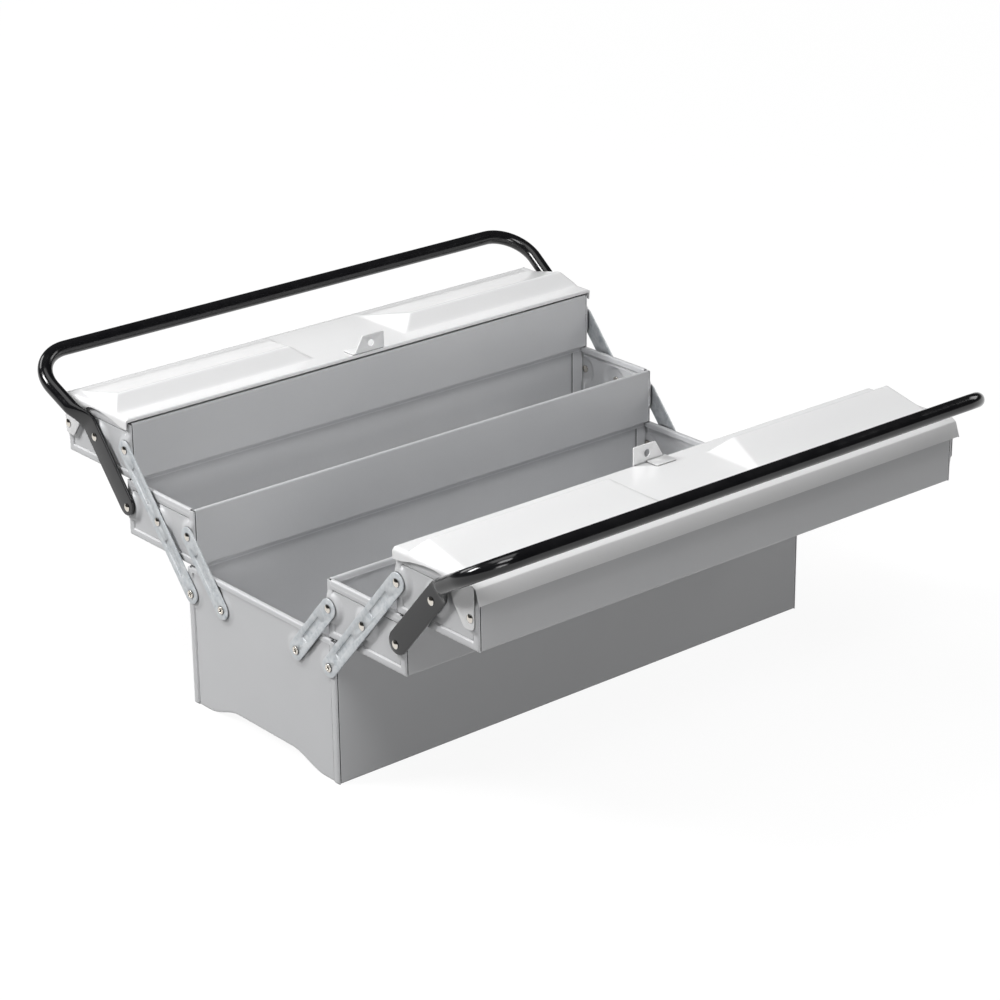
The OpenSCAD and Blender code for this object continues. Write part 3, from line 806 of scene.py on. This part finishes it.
def sheet_row(profile, x):
    """Both faces of the lid's sheet at one place along X."""
    front, back = [], []
    d = LID_END - x
    for (y, z), (ny, nz) in profile:
        bend = bend_radius(y, z)
        drop, inset, rise = 0.0, 0.0, 0.0
        if d < bend:
            drop = bend - math.sqrt(max(0.0, bend ** 2 - (bend - d) ** 2))
            inset = min(SHEET, max(0.0, SHEET * (1 - d / bend)))
        if z > FLAT_FOR_PADS and y < FLAT_Y_END:
            rise = pad_height(x, y)
        level = z + LID_Z + rise - drop
        front.append((x, y + TOP_AT[0], level))
        back.append((x - inset, y + ny + TOP_AT[0], level + nz * (1.0 - inset / SHEET * BEND_LOSES)))
    return front, back


def wall_row(profile, t):
    """Both faces of the lid's end wall at a share of its depth."""
    front, back = [], []
    for (y, z), (ny, _) in profile:
        bend = bend_radius(y, z)
        top = low = z - bend
        if z > FLAT_FOR_WALL and y < FLAT_Y_END:
            low = -max(bend, end_depth(min(y, WALL_Y_END)))
        level = mix(top, low, t) + LID_Z
        front.append((LID_END, y + TOP_AT[0], level))
        back.append((LID_END - SHEET, y + ny * WALL_KEEPS + TOP_AT[0], level))
    return front, back


def hinge_tab():
    """The part of the lid's end wall that reaches down to the hinge rivet."""
    y, z = shifted(HINGE, -TOP_AT[0], -LID_Z)
    neck, toe, outer = y - 19.8, z - 9.6, y + 4.3
    # Each corner with its radius
    corners = [
        ((62.0, -2.2), 0.0), ((62.0, -6.6), 2.0), ((66.0, -11.0), 0.0), ((neck, -18.9), 0.0),
        ((neck, z + 7.6), 1.5), ((y - 7.2, toe), 3.0), ((outer, toe), 4.5), ((outer, -3.0), 0.8),
        ((y, -1.4), 0.0),
    ]
    loop = rounded_loop([c for c, _ in corners], [r for _, r in corners], 6)

    def put(u, v, w):
        return (LID_X - SHEET - HINGE_TAB_BACK + w, u + TOP_AT[0], v + LID_Z)

    return plate(loop, SHEET, HINGE_TAB_BEVEL, put, [circle_loop((y, z), RIVET_R + HOLE_GAP, PIVOT_POINTS)])


def lid():
    """A folded and pressed sheet with its two end walls and hinge tabs."""
    profile = lid_profile()
    right = [sheet_row(profile, x) for x in lid_lines()] + [wall_row(profile, t) for t in WALL_STEPS]
    left = [[[(-x, y, z) for x, y, z in face] for face in row] for row in right[:0:-1]]
    whole = left + right
    shape = Shape()
    shape.shell([front for front, _ in whole], [back for _, back in whole])
    for end in (-1, 1):
        shape.join(hinge_tab().mirrored(1, end))
    return shape


# Hasps

# Tab: its left and right edge, the right end of its top, and the gap under it
TAB_LEFT, TAB_RIGHT, TAB_TOP_RIGHT, TAB_SEAT = -14.5, 18.0, 9.0, 0.25
# Foot: its left and right edge, and the gap behind it
FOOT_LEFT, FOOT_RIGHT, FOOT_SEAT = -1.0, 20.0, 0.4
HASP_BEVEL = 0.2


def hasp():
    """Upright tab with the padlock hole, and its foot on the lid, for the front lid."""
    y_face = -TOP_AT[0] - LIP_BACK
    tab = [(TAB_LEFT, TAB_SEAT), (TAB_RIGHT, TAB_SEAT), (TAB_TOP_RIGHT, HASP_H), (TAB_LEFT, HASP_H)]
    foot = [
        (FOOT_LEFT, -HASP_FOOT), (FOOT_RIGHT, -HASP_FOOT), (FOOT_RIGHT, -FOOT_SEAT), (FOOT_LEFT, -FOOT_SEAT),
    ]

    def put_tab(u, v, w):
        return (u, y_face - w, LID_Z + v)

    def put_foot(u, v, w):
        return (u, y_face + v, LID_Z + w)

    hole = circle_loop((0.0, HASP_HOLE_Z), HASP_HOLE_R, 28)
    shape = plate(rounded_loop(tab, [0.0, 1.0, 1.6, 1.2], 5), HASP_T, HASP_BEVEL, put_tab, [hole])
    shape.join(plate(rounded_loop(foot, [1.0], 4), HASP_T, HASP_BEVEL, put_foot))
    return shape


# Nodes of materials, floor and world

class Nodes:
    """Adds nodes to the tree of a material or world; a value may be a number, a colour or a node's output."""

    def __init__(self, owner):
        owner.use_nodes = True
        self.tree = owner.node_tree

    def feed(self, socket, value):
        if isinstance(value, bpy.types.NodeSocket):
            self.tree.links.new(value, socket)
        else:
            socket.default_value = value

    def add(self, kind, **values):
        """A new node; the values go to its inputs by name, and else to its settings."""
        node = self.tree.nodes.new("ShaderNode" + kind)
        for key, value in values.items():
            label = key.replace("_", " ")
            if label in node.inputs:
                self.feed(node.inputs[label], value)
            else:
                setattr(node, key, value)
        return node

    def pair(self, kind, first, second, at=0, **values):
        """A node that takes two like inputs, the first of them at the given place."""
        node = self.add(kind, **values)
        self.feed(node.inputs[at], first)
        self.feed(node.inputs[at + 1], second)
        return node.outputs[0]

    def spread(self, value, low, high, out_low, out_high):
        """Maps a value from one range to another, held at its ends."""
        node = self.add("MapRange", From_Min=low, From_Max=high, To_Min=out_low, To_Max=out_high, Value=value)
        return node.outputs["Result"]

    def noise(self, point, scale, detail, roughness=0.55):
        node = self.add("TexNoise", Scale=scale, Detail=detail, Roughness=roughness, Vector=point)
        return node.outputs["Fac"]

    def blend(self, factor, first, second):
        """First where the factor is zero, second where it is one; each a colour or an output."""
        node = self.add("Mix", data_type="RGBA")
        sockets = {s.identifier: s for s in node.inputs}
        for key, colour in (("A_Color", first), ("B_Color", second)):
            self.feed(sockets[key], (*colour, 1.0) if isinstance(colour, tuple) else colour)
        self.feed(sockets["Factor_Float"], factor)
        return {s.identifier: s for s in node.outputs}["Result_Color"]


# Finishes

BEVEL_SAMPLES, SHADE_SAMPLES = 4, 16
DARKEST_SHADE = 0.25
COAT_ROUGHNESS = 0.22


def shade(colour, share, most=1.0):
    """A colour made darker or lighter, no channel above the given most."""
    return tuple(min(most, c * share) for c in colour)


class Finish(Nodes):
    """A new material with its Principled shader."""

    def __init__(self, name):
        self.material = bpy.data.materials.new(name)
        super().__init__(self.material)
        self.shader = self.tree.nodes["Principled BSDF"]
        self.point = self.add("TexCoord").outputs["Object"]

    def apply(self, **values):
        """Gives the shader's inputs their values or outputs."""
        for key, value in values.items():
            self.feed(self.shader.inputs[key.replace("_", " ")], value)

    def edges(self, radius, flat, sharp):
        """Zero on flat faces and one along edges and tight folds."""
        bevel = self.add("Bevel", Radius=radius, samples=BEVEL_SAMPLES).outputs["Normal"]
        face = self.add("NewGeometry").outputs["Normal"]
        dot = self.add("VectorMath", operation="DOT_PRODUCT")
        self.feed(dot.inputs[0], bevel)
        self.feed(dot.inputs[1], face)
        return self.spread(dot.outputs["Value"], flat, sharp, 0.0, 1.0)

    def painted_seam_shade(self, base, distance, dark, most, open_at):
        """Paints shade into a colour: darker in seams, gaps and tight corners, where nearby surfaces occlude.
        """
        node = self.add("AmbientOcclusion", Distance=distance, samples=SHADE_SAMPLES)
        amount = self.spread(node.outputs["AO"], DARKEST_SHADE, open_at, most, 0.0)
        return self.blend(amount, base, dark)

    def bumps(self, layers):
        """Stacks bump layers of (height, strength, distance) on the shader's normal."""
        last = None
        for height, strength, distance in layers:
            node = self.add("Bump", Strength=strength, Distance=distance, Height=height)
            if last is not None:
                self.feed(node.inputs["Normal"], last)
            last = node.outputs["Normal"]
        self.apply(Normal=last)


def enamel(name, colour, deep, rough, peel, coat, wave, painted_edge_highlight):
    """Stoved paint on sheet steel: faint clouds, orange peel, a slight wave in the sheet, edges and folds
    painted lighter as a highlight, and painted shade in seams.
    """
    finish = Finish(name)
    clouds = finish.spread(finish.noise(finish.point, scale=7.0, detail=3.0), 0.32, 0.68, 0.0, 1.0)
    specks = finish.spread(finish.noise(finish.point, scale=210.0, detail=2.0), 0.66, 0.76, 0.0, 0.22)
    base = finish.blend(clouds, deep, colour)
    base = finish.blend(specks, base, shade(colour, 0.9))
    if painted_edge_highlight:
        # Painted highlight: edges and tight folds painted lighter, standing in for the gloss on the rolled
        # rims.
        edges = finish.edges(radius=1.7 * MM, flat=0.99, sharp=0.80)
        base = finish.blend(edges, base, shade(colour, 1.42, most=0.93))
    # Painted shade: the colour goes near black in seams, gaps and under nearby parts, where the occlusion is
    # deepest.
    base = finish.painted_seam_shade(base, distance=3.2 * MM, dark=shade(colour, 0.1), most=0.95, open_at=0.82)
    patches = finish.noise(finish.point, scale=30.0, detail=4.0)
    gloss = finish.spread(patches, 0.3, 0.7, rough - 0.05, rough + 0.07)
    finish.apply(Base_Color=base, Roughness=gloss, Coat_Weight=coat, Coat_Roughness=COAT_ROUGHNESS)
    peel_height = finish.noise(finish.point, scale=480.0, detail=2.0)
    wave_height = finish.noise(finish.point, scale=14.0, detail=1.0)
    finish.bumps([(wave_height, wave, 1.2 * MM), (peel_height, peel, 0.15 * MM)])
    return finish.material


def plated(name, colour, tint, rough, grain, metal):
    """Plated steel: small crystals that differ in tint and gloss, with a faint drawn grain, edges painted
    near white as a highlight, and painted shade in slots and seams.
    """
    finish = Finish(name)
    crystals = finish.add("TexVoronoi", Scale=grain, Vector=finish.point).outputs["Color"]
    chance = finish.add("SeparateColor", Color=crystals).outputs
    patches = finish.noise(finish.point, scale=120.0, detail=5.0, roughness=0.65)
    clouds = finish.spread(patches, 0.35, 0.65, 0.0, 1.0)
    spangle = finish.spread(chance["Red"], 0.0, 1.0, 0.35, 1.0)
    base = finish.blend(finish.pair("Math", spangle, clouds, operation="MULTIPLY"), colour, tint)
    # Painted highlight: edges and chamfers painted near white.
    edges = finish.edges(radius=0.55 * MM, flat=0.985, sharp=0.85)
    base = finish.blend(edges, base, (0.97, 0.97, 0.97))
    # Painted shade in the pressed slots, in seams and under nearby parts.
    base = finish.painted_seam_shade(base, distance=2.4 * MM, dark=shade(colour, 0.2), most=1.0, open_at=0.86)
    gloss = finish.spread(chance["Green"], 0.0, 1.0, rough - 0.04, rough + 0.06)
    finish.apply(Base_Color=base, Metallic=metal, Roughness=gloss)
    finish.bumps([(finish.noise(finish.point, scale=900.0, detail=3.0), 0.06, 0.08 * MM)])
    return finish.material


def lacquer(name, colour, deep, edge, rough):
    """Dark lacquer on steel: soft blotches, uneven gloss, and a light line painted along sharp edges as a
    highlight.
    """
    finish = Finish(name)
    patches = finish.noise(finish.point, scale=45.0, detail=5.0, roughness=0.62)
    base = finish.blend(finish.spread(patches, 0.33, 0.67, 0.0, 1.0), deep, colour)
    # Painted highlight: sharp edges painted in the lighter edge colour.
    base = finish.blend(finish.edges(radius=0.7 * MM, flat=0.97, sharp=0.75), base, edge)
    uneven = finish.noise(finish.point, scale=90.0, detail=4.0)
    gloss = finish.spread(uneven, 0.3, 0.7, rough - 0.05, rough + 0.08)
    finish.apply(Base_Color=base, Roughness=gloss)
    finish.bumps([(finish.noise(finish.point, scale=600.0, detail=2.0), 0.08, 0.1 * MM)])
    return finish.material


BOX_PAINT = enamel(
    "box_enamel", colour=(0.62, 0.624, 0.634), deep=(0.59, 0.596, 0.608),
    rough=0.35, peel=0.07, coat=0.35, wave=0.05, painted_edge_highlight=True,
)
LID_PAINT = enamel(
    "lid_enamel", colour=(0.875, 0.875, 0.877), deep=(0.86, 0.861, 0.864),
    rough=0.19, peel=0.02, coat=0.15, wave=0.01, painted_edge_highlight=False,
)
LINK_ZINC = plated(
    "link_zinc", colour=(0.66, 0.68, 0.695), tint=(0.42, 0.46, 0.49), rough=0.36, grain=420.0, metal=0.35,
)
RIVET_NICKEL = plated(
    "rivet_nickel", colour=(0.68, 0.64, 0.58), tint=(0.60, 0.56, 0.50), rough=0.12, grain=1500.0, metal=1.0,
)
HANDLE_LACQUER = lacquer(
    "handle_lacquer", colour=(0.011, 0.011, 0.012), deep=(0.006, 0.006, 0.007), edge=(0.45, 0.45, 0.455),
    rough=0.13,
)


# The box in its finishes, each kind of piece with the angle up to which its shading is smooth

FOLD_CREASE, PANEL_CREASE, METAL_CREASE, TUBE_CREASE, LID_CREASE = 38.0, 30.0, 50.0, 42.0, 34.0
LINK_HEAD = LINK_X + LINK_T + HEAD_GAP
ARM_HEAD = LINK_X + ARM_T + HEAD_GAP
LID_HEAD = LID_X + HEAD_GAP
TIERS = {
    "middle": (MIDDLE_AT, [(LINK_HEAD, SHORT_HIGH), (LINK_HEAD, LONG_MID), (ARM_HEAD, ARM_LOW)]),
    "top": (TOP_AT, [(LINK_HEAD, LONG_HIGH), (ARM_HEAD, ARM_HIGH), (LID_HEAD, HINGE)]),
}


def dress_bottom():
    stand_in("bottom_shell", bottom_shell(), BOX_PAINT, FOLD_CREASE)
    end = bottom_end()
    for e, k in ENDS.items():
        stand_in(f"bottom_end_{e}", end.mirrored(1, k), BOX_PAINT, PANEL_CREASE)
    corner = rivets([(LINK_HEAD, LONG_LOW), (LINK_HEAD, SHORT_LOW)], ROLLED_HEAD, END_X - SHEET - FIELD_DEPTH)
    every = Shape()
    for s in SIDES.values():
        for k in ENDS.values():
            every.join(corner.mirrored(s, k))
    stand_in("bottom_rivets", every, RIVET_NICKEL, METAL_CREASE)


def dress_tray(tier, side):
    place, heads = TIERS[tier]
    s = SIDES[side]
    stand_in(f"{tier}_tray_{side}", tray_shell(place).mirrored(s, 1), BOX_PAINT, FOLD_CREASE)
    wall = tray_end(place)
    domes = rivets(heads, domed_head(), END_X - SHEET)
    both = Shape()
    for e, k in ENDS.items():
        stand_in(f"{tier}_end_{e}_{side}", wall.mirrored(s, k), BOX_PAINT, PANEL_CREASE)
        both.join(domes.mirrored(s, k))
    stand_in(f"{tier}_rivets_{side}", both, RIVET_NICKEL, METAL_CREASE)


def dress():
    dress_bottom()
    long_link, short_link, grip, cover, catch = link(LONG_LOW, 2), link(SHORT_LOW, 1), handle(), lid(), hasp()
    for side, s in SIDES.items():
        for tier in TIERS:
            dress_tray(tier, side)
        for e, k in ENDS.items():
            stand_in(f"long_link_{e}_{side}", long_link.mirrored(s, k), LINK_ZINC, METAL_CREASE)
            stand_in(f"short_link_{e}_{side}", short_link.mirrored(s, k), LINK_ZINC, METAL_CREASE)
        stand_in(f"handle_{side}", grip.mirrored(s, 1), HANDLE_LACQUER, TUBE_CREASE)
        stand_in(f"lid_{side}", cover.mirrored(s, 1), LID_PAINT, LID_CREASE)
        stand_in(f"hasp_{side}", catch.mirrored(-s, -s), LID_PAINT, METAL_CREASE)


dress()


# Studio, in metres and watts

FLOOR_SIZE = 40.0
FLOOR_MATT = 0.11
# How white the floor looks close to the object and far from it, and the distances
FLOOR_GLOW, FAR_GLOW = 0.92, 0.98
GLOW_NEAR, GLOW_FAR = 1.0, 3.5
AMBIENT, AMBIENT_COLOUR = 0.09, (0.985, 0.99, 1.0, 1.0)
# What reflections see of the world: at the horizon, and from the given rise upwards
HORIZON, OVERHEAD, OVERHEAD_FROM = 0.28, 0.025, 0.14
WHITE = (1.0, 1.0, 1.0, 1.0)


def studio_floor():
    """White to the camera and in reflections with the shadow kept, greyer for the light it throws back."""
    bpy.ops.mesh.primitive_plane_add(size=FLOOR_SIZE, location=(0.0, 0.0, 0.0))
    floor = bpy.context.object
    floor.name = "floor"
    material = bpy.data.materials.new("floor_white")
    nodes = Nodes(material)
    nodes.tree.nodes.clear()
    path = nodes.add("LightPath").outputs
    seen = nodes.pair("Math", path["Is Camera Ray"], path["Is Glossy Ray"], operation="MAXIMUM")
    away = nodes.add("VectorMath", operation="LENGTH")
    nodes.feed(away.inputs[0], nodes.add("NewGeometry").outputs["Position"])
    glow = nodes.spread(away.outputs["Value"], GLOW_NEAR, GLOW_FAR, FLOOR_GLOW, FAR_GLOW)
    light = nodes.add("Emission", Strength=nodes.pair("Math", seen, glow, operation="MULTIPLY"))
    matt = nodes.add("BsdfDiffuse", Color=(FLOOR_MATT, FLOOR_MATT, FLOOR_MATT, 1.0))
    nodes.add("OutputMaterial", Surface=nodes.pair("AddShader", matt.outputs[0], light.outputs[0]))
    floor.data.materials.append(material)


def studio_world():
    """White behind the object, even light for the rest, darker overhead in reflections."""
    world = bpy.data.worlds.new("studio")
    bpy.context.scene.world = world
    nodes = Nodes(world)
    nodes.tree.nodes.clear()
    path = nodes.add("LightPath").outputs
    ray = nodes.add("SeparateXYZ", Vector=nodes.add("TexCoord").outputs["Generated"]).outputs
    rise = nodes.spread(ray["Z"], 0.0, OVERHEAD_FROM, HORIZON, OVERHEAD)
    ambient = nodes.add("Background", Color=AMBIENT_COLOUR, Strength=AMBIENT).outputs[0]
    mirror = nodes.add("Background", Strength=rise).outputs[0]
    white = nodes.add("Background", Color=WHITE).outputs[0]
    unseen = nodes.pair("MixShader", ambient, mirror, at=1, Fac=path["Is Glossy Ray"])
    nodes.add("OutputWorld", Surface=nodes.pair("MixShader", unseen, white, at=1, Fac=path["Is Camera Ray"]))


def softbox(name, place, aim_z, width, height, power):
    """A rectangular lamp that looks at a point over the middle of the floor."""
    light = bpy.data.lights.new(name, "AREA")
    light.shape = "RECTANGLE"
    light.size, light.size_y = width, height
    light.energy = power
    lamp = bpy.data.objects.new(name, light)
    bpy.context.scene.collection.objects.link(lamp)
    lamp.location = place
    lamp.rotation_euler = (Vector((0.0, 0.0, aim_z)) - Vector(place)).to_track_quat("-Z", "Y").to_euler()


studio_floor()
studio_world()
softbox("key", place=(-1.8, 1.15, 1.85), aim_z=0.12, width=0.75, height=0.75, power=54.0)
softbox("overhead", place=(-0.2, 0.1, 2.3), aim_z=0.1, width=1.4, height=1.4, power=10.5)
softbox("front", place=(-0.7, -1.25, 2.1), aim_z=0.15, width=1.0, height=0.8, power=18.0)
softbox("fill", place=(-1.4, -2.6, 0.75), aim_z=0.15, width=1.0, height=0.6, power=15.5)
softbox("right", place=(2.1, -0.4, 1.3), aim_z=0.12, width=1.0, height=0.8, power=8.0)
softbox("back", place=(-0.6, 2.2, 1.5), aim_z=0.12, width=1.0, height=0.8, power=10.0)


# Camera, found from the corners and edges in the photograph

CAMERA_AZIMUTH = -0.698
CAMERA_ELEVATION = 0.389
CAMERA_ROLL = -0.011
CAMERA_TARGET = Vector((1.706, 5.702, 141.665)) * MM
CAMERA_DISTANCE = 2552.3 * MM
FOCAL_PIXELS = 3000.3
PICTURE_PIXELS = 1000.0
SENSOR_WIDTH = 36.0
FARTHEST_SEEN = 60.0


def place_camera():
    a, e, roll = CAMERA_AZIMUTH, CAMERA_ELEVATION, CAMERA_ROLL
    back = Vector((math.sin(a) * math.cos(e), -math.cos(a) * math.cos(e), math.sin(e)))
    right = Vector((math.cos(a), math.sin(a), 0.0))
    up = back.cross(right)
    right, up = right * math.cos(roll) + up * math.sin(roll), up * math.cos(roll) - right * math.sin(roll)
    data = bpy.data.cameras.new("camera")
    data.sensor_width = SENSOR_WIDTH
    data.lens = FOCAL_PIXELS / PICTURE_PIXELS * SENSOR_WIDTH
    data.clip_end = FARTHEST_SEEN
    camera = bpy.data.objects.new("camera", data)
    bpy.context.scene.collection.objects.link(camera)
    turn = Matrix((right, up, back)).transposed().to_4x4()
    camera.matrix_world = Matrix.Translation(CAMERA_TARGET + back * CAMERA_DISTANCE) @ turn
    bpy.context.scene.camera = camera


place_camera()
bpy.context.scene.view_settings.view_transform = "Standard"
